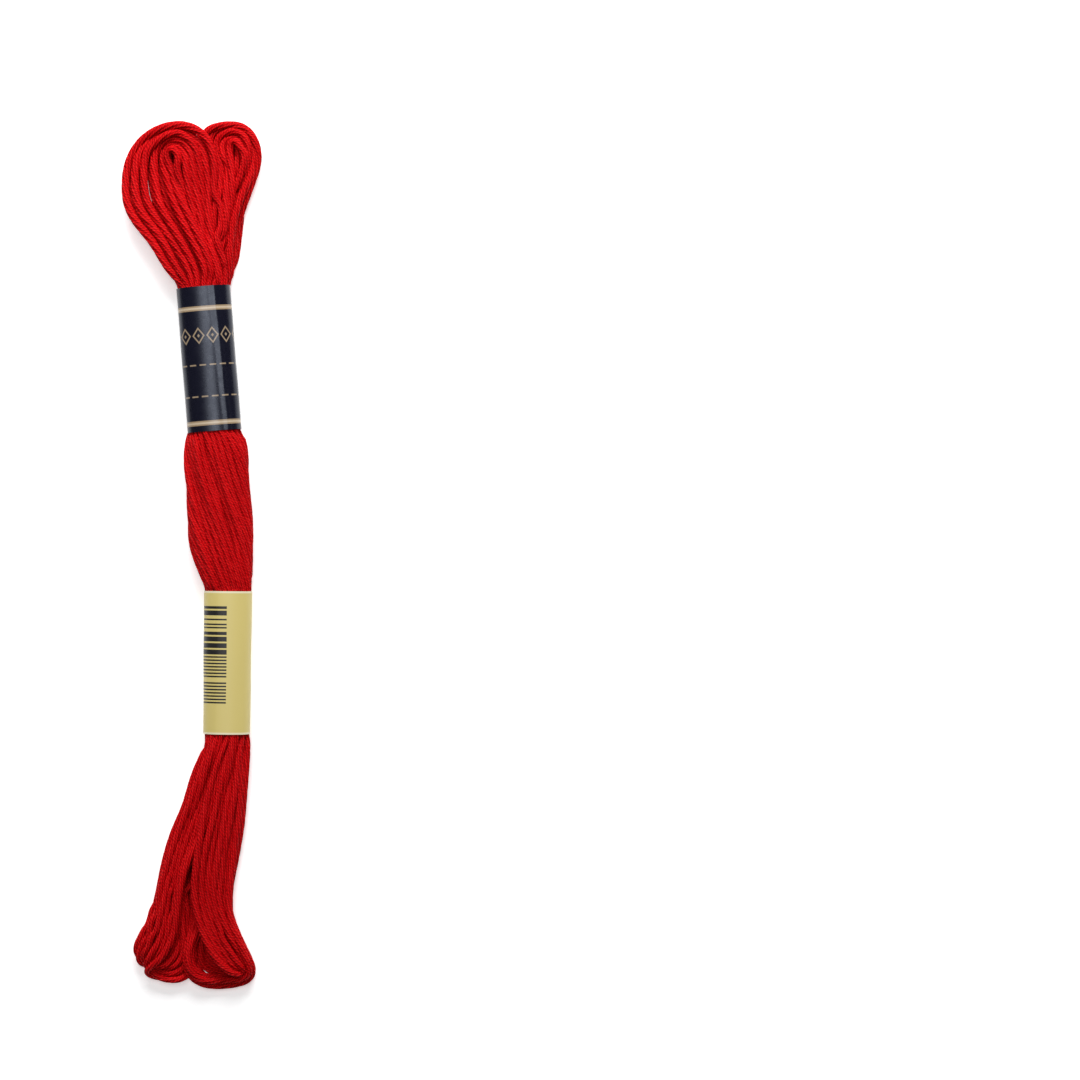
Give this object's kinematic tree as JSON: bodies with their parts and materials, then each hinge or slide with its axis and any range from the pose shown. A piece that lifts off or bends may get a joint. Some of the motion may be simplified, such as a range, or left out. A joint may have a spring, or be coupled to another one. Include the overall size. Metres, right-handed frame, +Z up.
{
  "type": "skein of embroidery floss",
  "caption": "Red pull skein of six-strand cotton embroidery floss, lying flat: open loops at both ends, a twisted waist, and a black and a yellow paper band.",
  "frame": {"origin": "bottom centre of the bounding box, on the surface the skein lies on", "axes": "+Y along the skein towards the end with the wide and the narrow loop, +Z up from the surface, +X to the right seen from above"},
  "size_m": [0.0251, 0.1602, 0.0061],
  "materials": {
    "floss": "mercerised cotton, soft sheen",
    "black_paper": "coated, printed black with gold stripes",
    "yellow_paper": "coated, printed yellow"
  },
  "bodies": {
    "root": {"floss_hank": "floss", "upper_band": "black_paper", "lower_band": "yellow_paper"}
  },
  "joints": []
}
